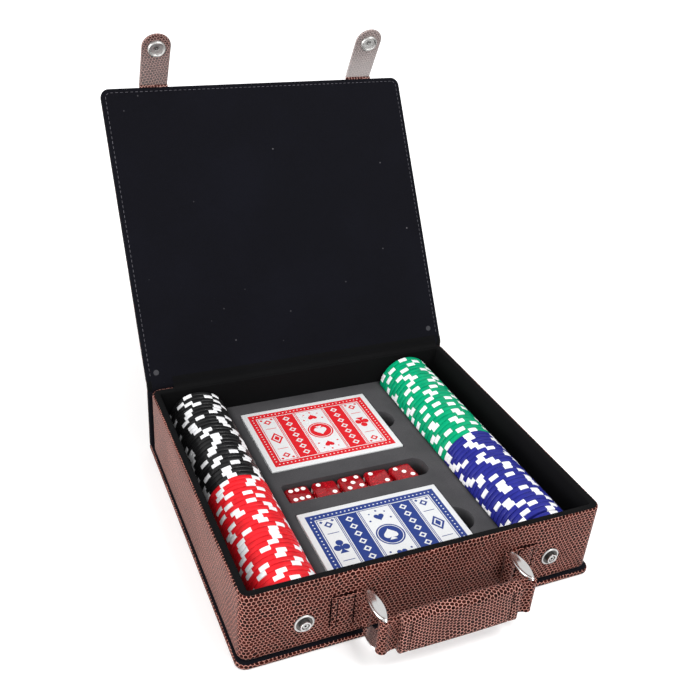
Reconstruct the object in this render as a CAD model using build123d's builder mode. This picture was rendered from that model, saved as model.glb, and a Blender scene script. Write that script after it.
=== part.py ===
from build123d import *
from math import cos, radians, sin
import os

# Poker set case: a book style wrap of covered boards, a lined tray with a foam
# insert for chips, cards and dice, two snap tabs and a carrying handle on links.
# The origin is under the middle of the tray, on the surface that the case rests on.
# X runs to the right, Y to the hinge at the back and Z up.

# Sheets and boards
leather = 0.9
lining = 0.7
wall_board = 3.0
floor_board = 2.0
panel_board = 2.2

# Tray
tray_width = 217.0
tray_depth = 195.0
rim_height = 49.5
tray_corner = 6.0

# Base, spine and lid panels
side_overhang = 1.8
front_overhang = 2.5
panel_corner = 6.0
spine_board_corner = 0.1
lid_gap = 0.1

# Leather hinge between spine and lid
hinge_inset = 2.2
hinge_rise = 1.4
hinge_leather = 1.6
hinge_free = 3.0
hinge_play = 0.1
lid_open = 123.4

# Snap tabs, studs, sockets and caps
snap_middle = 2.1
patch_stud_gap = 7.3
stud_height = 21.0
stud_flange_diameter = 11.5
stud_flange = 0.6
stud_post_diameter = 5.6
stud_post = 2.5
stud_lip = 0.3
stud_hollow_diameter = 2.8
stud_hollow = 1.8
rivet_diameter = 3.2
rivet_head_diameter = 9.0
rivet_head = 0.6
socket_diameter = 10.8
socket_base = 0.5
snap_play = 0.3
cap_diameter = 12.0
cap_dome = 1.4
cap_edge = 1.1
tab_leather = 1.6
tab_root_width = 19.2
tab_end_width = 19.4
tab_tip = 10.4
tab_tail = 12.0
tab_curl = 60.0
tab_fold_play = 0.1

# Carrying handle, its links and the loops that hold them
handle_middle = 3.75
link_spacing = 87.5
link_height = 23.5
link_length = 20.0
link_bar_diameter = 3.0
link_tip = 2.7
link_plate_width = 7.6
link_plate = 1.2
loop_play = 0.3
loop_leather = 1.2
loop_wall_gap = 0.1
loop_lean = 30.0
strap_height = 21.5
strap_end_play = 0.5
patch_length = 15.0
patch_leather = 1.8
strap_leather = 2.4
grip_shoulder = 8.25
grip_rise_padding = 1.1
grip_front_padding = 2.9
grip_back_padding = 0.1
grip_cover_leather = 0.9
grip_edge = 2.4

# Contents
chip_diameter = 39.0
chip_thickness = 3.25
chips_per_colour = 25
black_chip_gap = 0.45
red_chip_gap = 0.3
green_chip_gap = 0.6
blue_chip_gap = 0.1
chip_edge = 0.4
left_row_gap = 5.1
right_row_gap = 7.1
rows_back_gap = 3.1
card_length = 89.0
card_width = 63.0
card_corner = 3.0
cards_height = 15.6
card_end_play = 0.75
card_side_play = 0.5
cards_top_play = 0.4
deck_board = 0.5
red_deck_gap = 12.4
blue_deck_gap = 1.4
deck_proud = 0.5
die_size = 16.0
die_edge = 2.0
die_gap = 1.8
die_end_play = 0.5
die_sunk = 2.0
dice_turns = [2.0, -4.0, 3.0, -3.0, 4.0]

# Foam insert
foam_top = 28.5
foam_play = 0.2
channel_play = 0.3
channel_end_play = 0.5
channel_floor = 1.5
pocket_play = 0.5
notch_radius = 10.5
notch_reach = 8.2
slot_inset = 0.45
slot_finger_room = 6.5
slot_play = 0.7
slot_near_corner = 2.0
slot_far_corner = 7.0

# Shares of the spare foam: left of the card boxes, and in front of the dice slot
deck_left_share = 0.304
slot_front_share = 0.451

# Derived places
panel_thickness = leather + panel_board + lining
wall = leather + wall_board + lining
panel_width = tray_width + 2 * side_overhang
tray_floor = panel_thickness + floor_board + lining
inner_width = tray_width - 2 * wall
inner_depth = tray_depth - 2 * wall
front_face = -tray_depth / 2
spine_back = tray_depth / 2 + panel_thickness
hinge_y = tray_depth / 2 + hinge_inset
hinge_z = rim_height + lid_gap + hinge_rise
lid_outer = panel_thickness - hinge_rise
spine_top = hinge_z - hinge_free
lid_reach = hinge_y - front_face + front_overhang
spine_corner = leather + spine_board_corner
loop_bore = link_bar_diameter / 2 + loop_play
loop_outside = loop_bore + loop_leather
patch_start = loop_outside + loop_leather
snap_spacing = link_spacing + 2 * (patch_start + patch_length + patch_stud_gap) + stud_flange_diameter
stud_places = [snap_middle - snap_spacing / 2, snap_middle + snap_spacing / 2]
link_places = [handle_middle - link_spacing / 2, handle_middle + link_spacing / 2]

# Where the socket sits over the stud when the case is shut
socket_stack = stud_flange + snap_play + socket_base + stud_post
tab_inside = socket_stack + snap_play / 2
tab_fold_reach = lid_reach + tab_inside - front_overhang + tab_leather / 2
tab_fold_rise = -hinge_rise + lining + tab_leather / 2
socket_reach = hinge_z + tab_fold_rise - stud_height


def opened_plane(angle, origin):
    """A plane on a leaf that has been opened by an angle, as it lies when shut at 0."""
    turn = radians(angle)
    return Plane(origin=origin, x_dir=(1, 0, 0), z_dir=(0, sin(turn), cos(turn)))


def save(piece, label):
    piece.part.label = label
    export_step(piece.part, f"parts/{label}.step")


def make_panel(plane, near, far, corner):
    """A board in a leather cover that is turned up round its edges, with a lining."""
    middle = (0, (near + far) / 2)
    with BuildPart() as cover:
        with BuildSketch(plane) as outline:
            with Locations(middle):
                Rectangle(panel_width, far - near)
            fillet(outline.vertices().group_by(Axis.Y)[-1], corner)
        extrude(amount=leather + panel_board)
        with BuildSketch(plane.offset(leather)) as inside:
            with Locations(middle):
                Rectangle(panel_width - 2 * leather, far - near - 2 * leather)
            fillet(inside.vertices().group_by(Axis.Y)[-1], corner - leather)
        extrude(amount=panel_board, mode=Mode.SUBTRACT)
    with BuildPart() as board:
        with BuildSketch(plane.offset(leather)) as inside:
            with Locations(middle):
                Rectangle(panel_width - 2 * leather, far - near - 2 * leather)
            fillet(inside.vertices().group_by(Axis.Y)[-1], corner - leather)
        extrude(amount=panel_board)
    with BuildPart() as sheet:
        with BuildSketch(plane.offset(leather + panel_board)) as outline:
            with Locations(middle):
                Rectangle(panel_width, far - near)
            fillet(outline.vertices().group_by(Axis.Y)[-1], corner)
        extrude(amount=lining)
    return cover, board, sheet


os.makedirs("parts", exist_ok=True)

# Base panel, seen from below with its front edge ahead
base_plane = Plane(origin=(0, 0, 0), x_dir=(-1, 0, 0), z_dir=(0, 0, 1))
base_near = -spine_back
base_far = -front_face + front_overhang
base_leather, base_board, base_lining = make_panel(base_plane, base_near, base_far, panel_corner)
save(base_leather, "base_leather")
save(base_board, "base_board")
save(base_lining, "base_lining")

# Spine panel, which stands on the base behind the tray
spine_plane = Plane(origin=(0, spine_back, 0), x_dir=(1, 0, 0), z_dir=(0, -1, 0))
spine_cover, spine_board, spine_lining = make_panel(spine_plane, panel_thickness, spine_top, spine_corner)
with BuildPart() as spine_leather:
    add(spine_cover.part)
    with BuildSketch(Plane.XY.offset(spine_top)):
        with Locations((0, hinge_y)):
            Rectangle(panel_width, hinge_leather)
    extrude(amount=hinge_free)
    with BuildSketch(Plane.YZ.offset(-panel_width / 2)):
        with Locations((hinge_y, hinge_z)):
            Circle(hinge_leather / 2)
    extrude(amount=panel_width)
save(spine_leather, "spine_leather")
save(spine_board, "spine_board")
save(spine_lining, "spine_lining")

# Lid panel, which lies over the rim when shut and is open by lid_open here
lid_plane = opened_plane(lid_open, (0, hinge_y, hinge_z))
lid_origin = lid_plane.from_local_coords((0, 0, lid_outer))
lid_face = Plane(origin=lid_origin, x_dir=(1, 0, 0), z_dir=-lid_plane.z_dir)
lid_cover, lid_blank, lid_lining = make_panel(lid_face, hinge_free, lid_reach, panel_corner)
tail_start = lid_reach - tab_tail
tail_end = tab_fold_reach - tab_leather / 2 - tab_fold_play
tail_middle = -(tail_start + tail_end) / 2
with BuildPart() as tab_tails:
    with BuildSketch(lid_plane.offset(tab_fold_rise - tab_leather / 2)):
        with Locations((stud_places[0], tail_middle), (stud_places[1], tail_middle)):
            Rectangle(tab_root_width, tail_end - tail_start)
    extrude(amount=tab_leather)
with BuildPart() as lid_leather:
    add(lid_cover.part)
    with BuildSketch(lid_plane.offset(-hinge_leather / 2)):
        with Locations((0, -(hinge_leather / 2 + hinge_play + hinge_free) / 2)):
            Rectangle(panel_width, hinge_free - hinge_leather / 2 - hinge_play)
    extrude(amount=hinge_leather)
    add(tab_tails.part, mode=Mode.SUBTRACT)
with BuildPart() as lid_board:
    add(lid_blank.part)
    add(tab_tails.part, mode=Mode.SUBTRACT)
save(lid_leather, "lid_leather")
save(lid_board, "lid_board")
save(lid_lining, "lid_lining")
save(tab_tails, "tab_tails")

# Tray boards: a rounded ring that is cut into four walls, and a floor
ring_outside = tray_corner - leather
ring_inside = tray_corner - leather - wall_board
board_height = rim_height - lining - panel_thickness
corner_cut = tray_depth / 2 - leather - wall_board - ring_inside
with BuildPart() as board_ring:
    with BuildSketch(Plane.XY.offset(panel_thickness)):
        RectangleRounded(tray_width - 2 * leather, tray_depth - 2 * leather, ring_outside)
        RectangleRounded(
            inner_width + 2 * lining,
            inner_depth + 2 * lining,
            ring_inside,
            mode=Mode.SUBTRACT,
        )
    extrude(amount=board_height)
rivet_plane = Plane.XZ.offset(-front_face)
with BuildPart() as stud_rivets:
    with BuildSketch(rivet_plane):
        with Locations(*[(x, stud_height) for x in stud_places]):
            Circle(rivet_diameter / 2)
    extrude(amount=-(leather + wall_board))
    with BuildSketch(rivet_plane.offset(-(leather + wall_board - rivet_head))):
        with Locations(*[(x, stud_height) for x in stud_places]):
            Circle(rivet_head_diameter / 2)
    extrude(amount=-rivet_head)
save(stud_rivets, "stud_rivets")

with BuildPart() as tray_front_board:
    add(board_ring.part)
    split(bisect_by=Plane.XZ.offset(corner_cut), keep=Keep.TOP)
    add(stud_rivets.part, mode=Mode.SUBTRACT)
save(tray_front_board, "tray_front_board")

with BuildPart() as tray_back_board:
    add(board_ring.part)
    split(bisect_by=Plane.XZ.offset(-corner_cut), keep=Keep.BOTTOM)
save(tray_back_board, "tray_back_board")

for side, keep in (("left", Keep.BOTTOM), ("right", Keep.TOP)):
    with BuildPart() as tray_side_board:
        add(board_ring.part)
        split(bisect_by=Plane.XZ.offset(corner_cut), keep=Keep.BOTTOM)
        split(bisect_by=Plane.XZ.offset(-corner_cut), keep=Keep.TOP)
        split(bisect_by=Plane.YZ, keep=keep)
    save(tray_side_board, f"tray_{side}_board")

with BuildPart() as tray_floor_board:
    with BuildSketch(Plane.XY.offset(panel_thickness)):
        RectangleRounded(inner_width + 2 * lining, inner_depth + 2 * lining, ring_inside)
    extrude(amount=floor_board)
save(tray_floor_board, "tray_floor_board")

with BuildPart() as tray_leather:
    with BuildSketch(Plane.XY.offset(panel_thickness)):
        RectangleRounded(tray_width, tray_depth, tray_corner)
        RectangleRounded(
            tray_width - 2 * leather,
            tray_depth - 2 * leather,
            ring_outside,
            mode=Mode.SUBTRACT,
        )
    extrude(amount=rim_height - panel_thickness)
    add(stud_rivets.part, mode=Mode.SUBTRACT)
save(tray_leather, "tray_leather")

with BuildPart() as tray_lining:
    with BuildSketch(Plane.XY.offset(panel_thickness + floor_board)):
        RectangleRounded(inner_width + 2 * lining, inner_depth + 2 * lining, ring_inside)
    extrude(amount=rim_height - lining - panel_thickness - floor_board)
    with BuildSketch(Plane.XY.offset(rim_height - lining)):
        RectangleRounded(tray_width - 2 * leather, tray_depth - 2 * leather, ring_outside)
    extrude(amount=lining)
    with BuildSketch(Plane.XY.offset(tray_floor)):
        RectangleRounded(inner_width, inner_depth, ring_inside - lining)
    extrude(amount=rim_height - tray_floor, mode=Mode.SUBTRACT)
save(tray_lining, "tray_lining")

# Where the chip rows lie, in channels that are open at the tray's front wall
rows_back = inner_depth / 2 - rows_back_gap
left_row_x = left_row_gap + chip_diameter / 2 - inner_width / 2
right_row_x = inner_width / 2 - right_row_gap - chip_diameter / 2
channel_radius = chip_diameter / 2 + channel_play
channel_back = rows_back + channel_end_play
channel_length = channel_back + inner_depth / 2
row_axis_z = tray_floor + channel_floor + channel_radius

# Where the card boxes lie, between the rows
deck_length = card_length + 2 * (card_end_play + deck_board)
deck_width = card_width + 2 * (card_side_play + deck_board)
deck_height = cards_height + cards_top_play + 2 * deck_board
spare_width = right_row_x - left_row_x - 2 * channel_radius - deck_length
deck_left = left_row_x + channel_radius + deck_left_share * spare_width
deck_x = deck_left + deck_length / 2
red_deck_y = inner_depth / 2 - red_deck_gap - deck_width / 2
blue_deck_y = blue_deck_gap + deck_width / 2 - inner_depth / 2
pocket_floor = foam_top + deck_proud - deck_height
notch_x = deck_x + deck_length / 2 + notch_reach - notch_radius

# Where the dice slot lies, between the card boxes
die_pitch = die_size + die_gap
slot_left = deck_left + slot_inset
slot_length = len(dice_turns) * die_pitch + die_end_play + slot_finger_room
slot_width = die_size + 2 * slot_play
slot_floor = foam_top - die_sunk - die_size
spare_depth = red_deck_y - blue_deck_y - deck_width - slot_width
slot_y = blue_deck_y + (deck_width + slot_width) / 2 + slot_front_share * spare_depth

# Foam insert with chip channels, card pockets with finger notches, and a dice slot
with BuildPart() as foam_insert:
    with BuildSketch(Plane.XY.offset(tray_floor)):
        RectangleRounded(inner_width - 2 * foam_play, inner_depth - 2 * foam_play, ring_inside - lining)
    extrude(amount=foam_top - tray_floor)
    with BuildSketch(Plane.XZ.offset(-channel_back)):
        with Locations((left_row_x, row_axis_z), (right_row_x, row_axis_z)):
            Circle(channel_radius)
        with Locations((left_row_x, row_axis_z), (right_row_x, row_axis_z)):
            Rectangle(2 * channel_radius, 2 * channel_radius, align=(Align.CENTER, Align.MIN))
    extrude(amount=channel_length, mode=Mode.SUBTRACT)
    with BuildSketch(Plane.XY.offset(pocket_floor)):
        with Locations((deck_x, red_deck_y), (deck_x, blue_deck_y)):
            Rectangle(deck_length + 2 * pocket_play, deck_width + 2 * pocket_play)
        with Locations((notch_x, red_deck_y), (notch_x, blue_deck_y)):
            Circle(notch_radius)
    extrude(amount=foam_top - pocket_floor, mode=Mode.SUBTRACT)
    with BuildSketch(Plane.XY.offset(slot_floor)) as slot:
        with Locations((slot_left + slot_length / 2, slot_y)):
            Rectangle(slot_length, slot_width)
        fillet(slot.vertices().group_by(Axis.X)[0], slot_near_corner)
        fillet(slot.vertices().group_by(Axis.X)[-1], slot_far_corner)
    extrude(amount=foam_top - slot_floor, mode=Mode.SUBTRACT)
save(foam_insert, "foam_insert")

# Chips: two colours to a row, on edge, some of them packed more loosely
black_pitch = chip_thickness + black_chip_gap
red_pitch = chip_thickness + red_chip_gap
green_pitch = chip_thickness + green_chip_gap
blue_pitch = chip_thickness + blue_chip_gap
rows = [
    ("black_chips", left_row_x, rows_back, black_pitch),
    ("red_chips", left_row_x, rows_back - chips_per_colour * black_pitch, red_pitch),
    ("green_chips", right_row_x, rows_back, green_pitch),
    ("blue_chips", right_row_x, rows_back - chips_per_colour * green_pitch, blue_pitch),
]
for label, row_x, back, chip_pitch in rows:
    with BuildPart() as chips:
        for number in range(chips_per_colour):
            with BuildSketch(Plane.XZ.offset(-(back - number * chip_pitch))):
                with Locations((row_x, row_axis_z)):
                    Circle(chip_diameter / 2)
            extrude(amount=chip_thickness)
        chamfer(chips.edges().filter_by(GeomType.CIRCLE), chip_edge)
    save(chips, label)

# Card boxes and the packs of cards in them
pocket_rest = Plane.XY.offset(pocket_floor)
for colour, deck_y in (("red", red_deck_y), ("blue", blue_deck_y)):
    with BuildPart() as card_box:
        with BuildSketch(pocket_rest):
            with Locations((deck_x, deck_y)):
                Rectangle(deck_length, deck_width)
        extrude(amount=deck_height)
        with BuildSketch(pocket_rest.offset(deck_board)):
            with Locations((deck_x, deck_y)):
                Rectangle(deck_length - 2 * deck_board, deck_width - 2 * deck_board)
        extrude(amount=deck_height - 2 * deck_board, mode=Mode.SUBTRACT)
    save(card_box, f"{colour}_card_box")
    with BuildPart() as cards:
        with BuildSketch(pocket_rest.offset(deck_board)):
            with Locations((deck_x, deck_y)):
                RectangleRounded(card_length, card_width, card_corner)
        extrude(amount=cards_height)
    save(cards, f"{colour}_cards")

# Dice, in a loose line from the left end of the slot
for number, turn in enumerate(dice_turns):
    die_x = slot_left + die_pitch / 2 + die_end_play + number * die_pitch
    die_plane = Plane(origin=(die_x, slot_y, slot_floor)).rotated((0, 0, turn))
    with BuildPart() as die:
        with BuildSketch(die_plane):
            Rectangle(die_size, die_size)
        extrude(amount=die_size)
        fillet(die.edges(), die_edge)
    save(die, f"die_{number + 1}")

# Snap studs on the front wall
for side, stud_x in zip(("left", "right"), stud_places):
    with BuildPart() as stud:
        with BuildSketch(rivet_plane):
            with Locations((stud_x, stud_height)):
                Circle(stud_flange_diameter / 2)
        extrude(amount=stud_flange)
        chamfer(stud.edges().group_by(Axis.Y)[0], stud_flange / 2)
        with BuildSketch(rivet_plane.offset(stud_flange)):
            with Locations((stud_x, stud_height)):
                Circle(stud_post_diameter / 2 - stud_lip)
        extrude(amount=stud_post)
        with BuildSketch(rivet_plane.offset(stud_flange + stud_post / 2)):
            with Locations((stud_x, stud_height)):
                Circle(stud_post_diameter / 2)
        extrude(amount=stud_post / 2)
        fillet(stud.edges().group_by(Axis.Y)[0], stud_lip)
        with BuildSketch(rivet_plane.offset(stud_flange + stud_post)):
            with Locations((stud_x, stud_height)):
                Circle(stud_hollow_diameter / 2)
        extrude(amount=-stud_hollow, mode=Mode.SUBTRACT)
    save(stud, f"{side}_stud")

# Snap tabs, which curl forwards from the plane of the open lid
fold_line = lid_plane.from_local_coords((0, -tab_fold_reach, tab_fold_rise))
tab_plane = opened_plane(lid_open - tab_curl, fold_line)
tab_inner = tab_plane.offset(-tab_leather / 2)
tab_outer = tab_plane.offset(tab_leather / 2)
cap_post = rivet_diameter / 2
tab_start = tab_leather / 2
for side, tab_x in zip(("left", "right"), stud_places):
    snap = (tab_x, -socket_reach)
    with BuildPart() as tab:
        with BuildSketch(tab_inner):
            with BuildLine():
                Polyline(
                    (tab_x - tab_end_width / 2, -socket_reach),
                    (tab_x - tab_root_width / 2, -tab_start),
                    (tab_x + tab_root_width / 2, -tab_start),
                    (tab_x + tab_end_width / 2, -socket_reach),
                )
                ThreePointArc(
                    (tab_x + tab_end_width / 2, -socket_reach),
                    (tab_x, -socket_reach - tab_tip),
                    (tab_x - tab_end_width / 2, -socket_reach),
                )
            make_face()
            with Locations(snap):
                Circle(cap_post, mode=Mode.SUBTRACT)
        extrude(amount=tab_leather)
        with BuildSketch(Plane.YZ.offset(tab_x - tab_root_width / 2)):
            with Locations((fold_line.Y, fold_line.Z)):
                Circle(tab_leather / 2)
        extrude(amount=tab_root_width)
        with BuildSketch(tab_inner):
            with Locations((tab_x, -tab_start / 2)):
                Rectangle(tab_root_width, tab_start)
        extrude(amount=tab_leather)
    save(tab, f"{side}_tab")

    with BuildPart() as socket:
        with BuildSketch(tab_inner):
            with Locations(snap):
                Circle(socket_diameter / 2)
        extrude(amount=-(socket_base + stud_post + snap_play / 2))
        chamfer(socket.edges().sort_by(Axis((0, 0, 0), tab_plane.z_dir))[0], socket_base)
        with BuildSketch(tab_inner.offset(-socket_base)):
            with Locations(snap):
                Circle(stud_post_diameter / 2 + snap_play)
        extrude(amount=-(stud_post + snap_play / 2), mode=Mode.SUBTRACT)
        with BuildSketch(tab_inner):
            with Locations(snap):
                Circle(cap_post)
        extrude(amount=-socket_base, mode=Mode.SUBTRACT)
    save(socket, f"{side}_socket")

    with BuildPart() as cap:
        with BuildSketch(tab_outer):
            with Locations(snap):
                Circle(cap_diameter / 2)
        extrude(amount=cap_dome)
        fillet(cap.edges().sort_by(Axis((0, 0, 0), tab_plane.z_dir))[-1], cap_edge)
        with BuildSketch(tab_outer):
            with Locations(snap):
                Circle(cap_post)
        extrude(amount=-(tab_leather + socket_base))
    save(cap, f"{side}_cap")

# Wall loops, links and the handle
bar_y = front_face - loop_outside - loop_wall_gap
lean_x = loop_outside * sin(radians(loop_lean))
lean_y = loop_outside * cos(radians(loop_lean))
handle_y = bar_y - link_length
strap_bottom = link_height - strap_height / 2
link_inside = strap_height + 2 * strap_end_play
link_plate_length = link_length + 2 * link_tip
for side, link_x, outward in (("left", link_places[0], -1), ("right", link_places[1], 1)):
    patch_near = link_x + outward * patch_start
    patch_far = patch_near + outward * patch_length
    with BuildPart() as wall_loop:
        with BuildSketch(Plane.XY.offset(strap_bottom)):
            with BuildLine():
                Polyline(
                    (link_x, front_face),
                    (patch_far, front_face),
                    (patch_far, front_face - patch_leather),
                    (patch_near, front_face - patch_leather),
                    (link_x + outward * lean_x, bar_y - lean_y),
                    (link_x, bar_y),
                    (link_x, front_face),
                )
            make_face()
            with Locations((link_x, bar_y)):
                Circle(loop_outside)
                Circle(loop_bore, mode=Mode.SUBTRACT)
        extrude(amount=strap_height)
    save(wall_loop, f"{side}_wall_loop")

    with BuildPart() as link:
        for bar in (bar_y, handle_y):
            with BuildSketch(Plane.XY.offset(link_height - link_inside / 2)):
                with Locations((link_x, bar)):
                    Circle(link_bar_diameter / 2)
            extrude(amount=link_inside)
        for level in (link_height - link_inside / 2 - link_plate, link_height + link_inside / 2):
            with BuildSketch(Plane.XY.offset(level)):
                with BuildLine():
                    tip_near = (link_x, (bar_y + handle_y + link_plate_length) / 2)
                    tip_far = (link_x, (bar_y + handle_y - link_plate_length) / 2)
                    middle = (bar_y + handle_y) / 2
                    ThreePointArc(tip_near, (link_x + link_plate_width / 2, middle), tip_far)
                    ThreePointArc(tip_far, (link_x - link_plate_width / 2, middle), tip_near)
                make_face()
            extrude(amount=link_plate)
    save(link, f"{side}_link")

with BuildPart() as handle_strap:
    with BuildSketch(Plane.XY.offset(strap_bottom)):
        with Locations((handle_middle, handle_y)):
            Rectangle(link_spacing, strap_leather)
        with Locations(*[(x, handle_y) for x in link_places]):
            Circle(loop_outside)
            Circle(loop_bore, mode=Mode.SUBTRACT)
    extrude(amount=strap_height)
save(handle_strap, "handle_strap")

grip_length = link_spacing - 2 * grip_shoulder
grip_height = strap_height + 2 * (grip_rise_padding + grip_cover_leather)
grip_front = strap_leather / 2 + grip_front_padding + grip_cover_leather
grip_back = strap_leather / 2 + grip_back_padding + grip_cover_leather
grip_middle = handle_y - (grip_front - grip_back) / 2
grip_depth = grip_front + grip_back
grip_left = handle_middle - grip_length / 2
with BuildPart() as grip_cover:
    with BuildSketch(Plane.YZ.offset(grip_left)):
        with Locations((grip_middle, link_height)):
            RectangleRounded(grip_depth, grip_height, grip_edge)
            RectangleRounded(
                grip_depth - 2 * grip_cover_leather,
                grip_height - 2 * grip_cover_leather,
                grip_edge - grip_cover_leather,
                mode=Mode.SUBTRACT,
            )
    extrude(amount=grip_length)
save(grip_cover, "grip_cover")

with BuildPart() as grip_padding:
    with BuildSketch(Plane.YZ.offset(grip_left)):
        with Locations((grip_middle, link_height)):
            RectangleRounded(
                grip_depth - 2 * grip_cover_leather,
                grip_height - 2 * grip_cover_leather,
                grip_edge - grip_cover_leather,
            )
        with Locations((handle_y, link_height)):
            Rectangle(strap_leather, strap_height, mode=Mode.SUBTRACT)
    extrude(amount=grip_length)
save(grip_padding, "grip_padding")
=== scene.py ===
import random
from itertools import accumulate
from math import atan, cos, degrees, pi, radians, sin

import bmesh
import bpy
from mathutils import Matrix, Vector


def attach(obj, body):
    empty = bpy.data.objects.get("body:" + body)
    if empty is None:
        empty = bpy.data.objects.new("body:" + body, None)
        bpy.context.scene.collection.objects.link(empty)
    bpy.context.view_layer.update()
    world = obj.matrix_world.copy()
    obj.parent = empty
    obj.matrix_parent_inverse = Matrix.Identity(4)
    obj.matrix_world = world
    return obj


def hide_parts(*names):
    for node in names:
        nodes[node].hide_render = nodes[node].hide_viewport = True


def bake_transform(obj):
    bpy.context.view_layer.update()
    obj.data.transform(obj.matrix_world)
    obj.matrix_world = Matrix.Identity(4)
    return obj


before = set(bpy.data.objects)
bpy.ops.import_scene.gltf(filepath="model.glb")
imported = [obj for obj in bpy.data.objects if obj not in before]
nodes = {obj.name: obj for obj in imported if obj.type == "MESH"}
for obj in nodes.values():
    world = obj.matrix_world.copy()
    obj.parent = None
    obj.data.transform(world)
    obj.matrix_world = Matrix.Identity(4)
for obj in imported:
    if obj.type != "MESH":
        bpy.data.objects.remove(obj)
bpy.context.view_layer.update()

MM = 0.001

# Places in mm, from the model
HINGE = Vector((0, 99.7, 51.0))
LID_OPEN = radians(123.4)
LID_WAY = (0.0, 0.5505, 0.8348)
TAB_OPEN = radians(63.4)
FOLD = Vector((0, 211.008, 219.626))
PANEL = 3.8
LINING_BELOW_HINGE = 1.4
HALF_WIDTH = 110.3
TRAY_HALF_WIDTH = 108.5
FRONT_FACE = -97.5
CORNER = 6.0
LID_START, LID_END = 3.0, 199.7
TAB_MIDDLES = {"left": -73.9, "right": 78.1}
SNAP_REACH = 30.1
STUD_HEIGHT = 21.0
LINK_MIDDLES = {"left": -40.0, "right": 47.5}
INNER_BAR = -100.6
OUTER_BAR = -120.6
LINK_HEIGHT = 23.5


# Places: each function turns a point of an outline, and a height over it, into a point of the model

def base_point(u, v, h):
    return Vector((u, v, PANEL - h))


def spine_point(u, v, h):
    return Vector((u, -FRONT_FACE + h, v))


def opened(u, v, h, angle, origin):
    along = Vector((0, -cos(angle), sin(angle)))
    outward = Vector((0, sin(angle), cos(angle)))
    return origin + Vector((u, 0, 0)) + along * v + outward * h


def lid_point(u, v, h):
    return opened(u, v, h - LINING_BELOW_HINGE, LID_OPEN, HINGE)


def on_lid_lining(u, v, h):
    return lid_point(u, v, -h)


def tab_point(u, v, h):
    return opened(u, v, h, TAB_OPEN, FOLD)


def inside_tab(u, v, h):
    return tab_point(u, v, -h)


def upright(u, v, h):
    return Vector((u, v, h))


def wall_point(u, v, h):
    return Vector((u, FRONT_FACE - h, v))


def on_wall_at_links(u, v, h):
    return Vector((u, FRONT_FACE - v, LINK_HEIGHT + h))


def at_links(u, v, h):
    return Vector((u, v, LINK_HEIGHT + h))


# Outlines

CORNER_STEPS = 7
SIDE_PARTS = 6
TIGHTEST_BEND = 0.05


def rounded(u0, u1, v0, v1, radii, inset=0.0):
    """Rounded rectangle, anticlockwise from its low corner, drawn in by inset."""
    corners = (
        (u0, v0, 1, 1, pi), (u1, v0, -1, 1, 1.5 * pi), (u1, v1, -1, -1, 0.0), (u0, v1, 1, -1, 0.5 * pi),
    )
    bends = []
    for (cu, cv, su, sv, start), radius in zip(corners, radii):
        bend = max(radius - inset, TIGHTEST_BEND)
        hold = inset + bend
        turns = [start + step / CORNER_STEPS * pi / 2 for step in range(CORNER_STEPS + 1)]
        bends.append([(cu + su * hold + bend * cos(turn), cv + sv * hold + bend * sin(turn)) for turn in turns])
    points = []
    for bent, following in zip(bends, bends[1:] + bends[:1]):
        points += bent
        (au, av), (bu, bv) = bent[-1], following[0]
        points += [
            (au + (bu - au) * k / SIDE_PARTS, av + (bv - av) * k / SIDE_PARTS) for k in range(1, SIDE_PARTS)
        ]
    return points


def drawn_in(points, inset):
    """A closed anticlockwise outline moved inwards by inset."""
    moved = []
    count = len(points)
    for k, (u, v) in enumerate(points):
        before = Vector((u - points[k - 1][0], v - points[k - 1][1]))
        after = Vector((points[(k + 1) % count][0] - u, points[(k + 1) % count][1] - v))
        normals = [Vector((-side.y, side.x)).normalized() for side in (before, after) if side.length > 1e-7]
        mean = sum(normals, Vector((0, 0))).normalized()
        share = max(mean.dot(normals[0]), 0.5)
        moved.append((u + mean.x * inset / share, v + mean.y * inset / share))
    return moved


def band(path, halves):
    """The outline of a strip of given half thicknesses along a path."""
    left, right = [], []
    for k, (u, v) in enumerate(path):
        ahead = path[min(k + 1, len(path) - 1)]
        behind = path[max(k - 1, 0)]
        way = Vector((ahead[0] - behind[0], ahead[1] - behind[1])).normalized()
        left.append((u - way.y * halves[k], v + way.x * halves[k]))
        right.append((u + way.y * halves[k], v - way.x * halves[k]))
    return right + left[::-1]


def arc(middle, radius, start, end, steps):
    """Points on an arc, angles in degrees."""
    turns = [radians(start + (end - start) * k / steps) for k in range(steps + 1)]
    return [(middle[0] + radius * cos(turn), middle[1] + radius * sin(turn)) for turn in turns]


def disc(u, v, radius, steps=20):
    return [(u + radius * cos(2 * pi * k / steps), v + radius * sin(2 * pi * k / steps)) for k in range(steps)]


def lens_bend(half_length, rise):
    """The radius of a shallow arc, and half its angle in degrees."""
    radius = (half_length ** 2 + rise ** 2) / (2 * rise)
    return radius, 90 - degrees(atan((radius - rise) / half_length))


def distances(points):
    """The distance of each point from the first, along the line."""
    return list(accumulate(((b - a).length for a, b in zip(points, points[1:])), initial=0.0))


# Meshes

CAP_SHIFT = 500
CRISP = 35


def placed(name, data):
    made = bpy.data.objects.new(name, data)
    bpy.context.scene.collection.objects.link(made)
    return made


def new_object(name, verts, faces, coordinates, materials, index=None, flat=False):
    """coordinates holds one (s, t) pair in mm for each face corner."""
    mesh = bpy.data.meshes.new(name)
    mesh.from_pydata([Vector(v) * MM for v in verts], [], faces)
    layer = mesh.uv_layers.new(name="mm")
    if coordinates:
        for corner, pair in zip(layer.data, coordinates):
            corner.uv = pair
    for material in materials:
        mesh.materials.append(material)
    if index:
        mesh.polygons.foreach_set("material_index", index)
    mesh.polygons.foreach_set("use_smooth", [not flat] * len(mesh.polygons))
    mesh.update()
    return placed(name, mesh)


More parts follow.
